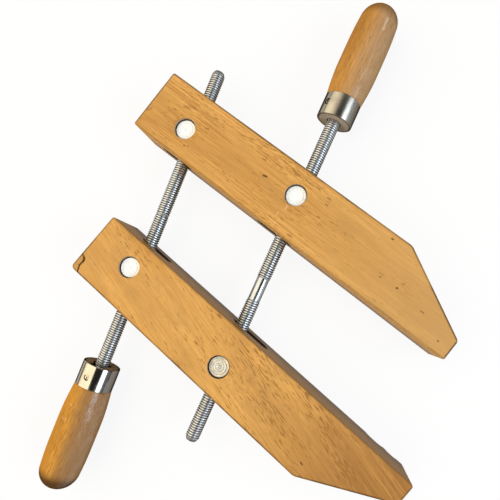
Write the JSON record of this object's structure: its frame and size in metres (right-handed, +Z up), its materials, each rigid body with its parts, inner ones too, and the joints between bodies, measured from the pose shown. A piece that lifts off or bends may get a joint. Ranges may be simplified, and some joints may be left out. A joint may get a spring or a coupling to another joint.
{
  "type": "handscrew clamp",
  "caption": "Wooden handscrew clamp: two tapered hardwood jaws on a pair of opposed double-threaded spindles with swivel nuts and turned handles.",
  "frame": {"origin": "on the lower jaw's resting face, midway between its two nut holes and midway across its width", "axes": "+Z up along the nut holes, +X along the lower jaw from heel to tip, +Y from the lower jaw to the upper jaw"},
  "size_m": [0.2888, 0.4032, 0.038],
  "materials": {
    "jaw_wood": "oiled hardwood, honey tan",
    "handle_wood": "glossy lacquered hardwood",
    "nut_steel": "turned, bright zinc",
    "spindle_steel": "cut thread, bright zinc",
    "ferrule_nickel": "polished nickel"
  },
  "bodies": {
    "lower_jaw": {"lower_jaw": "jaw_wood"},
    "lower_rear_nut": {"lower_rear_nut": "nut_steel"},
    "lower_front_nut": {"lower_front_nut": "nut_steel"},
    "upper_rear_nut": {"upper_rear_nut": "nut_steel"},
    "upper_jaw": {"upper_jaw": "jaw_wood"},
    "upper_front_nut": {"upper_front_nut": "nut_steel"},
    "rear_screw": {"rear_spindle": "spindle_steel", "rear_ferrule": "ferrule_nickel", "rear_handle": "handle_wood", "rear_handle_pin": "spindle_steel"},
    "front_screw": {"front_spindle": "spindle_steel", "front_ferrule": "ferrule_nickel", "front_handle": "handle_wood", "front_handle_pin": "spindle_steel"}
  },
  "joints": [
    {"name": "lower_rear_swivel", "type": "hinge", "parent": "lower_jaw", "child": "lower_rear_nut", "pos_m": [-0.0444, 0.00405, 0.019], "axis": [0, 0, 1], "range_deg": [-2.5, 1.6]},
    {"name": "lower_front_swivel", "type": "hinge", "parent": "lower_jaw", "child": "lower_front_nut", "pos_m": [0.0444, -0.00445, 0.019], "axis": [0, 0, 1], "range_deg": [-3.3, 2.1]},
    {"name": "rear_screw_turn", "type": "hinge", "parent": "lower_rear_nut", "child": "rear_screw", "pos_m": [-0.0444, 0.00405, 0.019], "axis": [0.3355, -0.9421, 0], "range_deg": [-5839, 3628]},
    {"name": "opening_slide", "type": "slide", "parent": "lower_rear_nut", "child": "upper_rear_nut", "axis": [-0.3355, 0.9421, 0], "range_m": [-0.0516, 0.0321]},
    {"name": "jaw_tilt", "type": "hinge", "parent": "upper_rear_nut", "child": "upper_jaw", "pos_m": [-0.07818, 0.09892, 0.019], "axis": [0, 0, 1], "range_deg": [-2.5, 2.5]},
    {"name": "upper_front_swivel", "type": "hinge", "parent": "upper_jaw", "child": "upper_front_nut", "pos_m": [0.01018, 0.1112, 0.019], "axis": [0, 0, 1], "range_deg": [-2.6, 2.6]},
    {"name": "front_screw_turn", "type": "hinge", "parent": "lower_front_nut", "child": "front_screw", "pos_m": [0.0444, -0.00445, 0.019], "axis": [-0.2838, 0.9589, 0], "range_deg": [-6220, 3870]}
  ],
  "couplings": [
    {"joint": "opening_slide", "follows": "rear_screw_turn", "m_per_rad": 0.00050532},
    {"joint": "lower_rear_swivel", "follows": "rear_screw_turn", "ratio": 0.00040425},
    {"joint": "lower_front_swivel", "follows": "rear_screw_turn", "ratio": 0.00054162},
    {"joint": "front_screw_turn", "follows": "rear_screw_turn", "ratio": 1.0648},
    {"joint": "upper_front_swivel", "follows": "jaw_tilt", "ratio": -1}
  ]
}
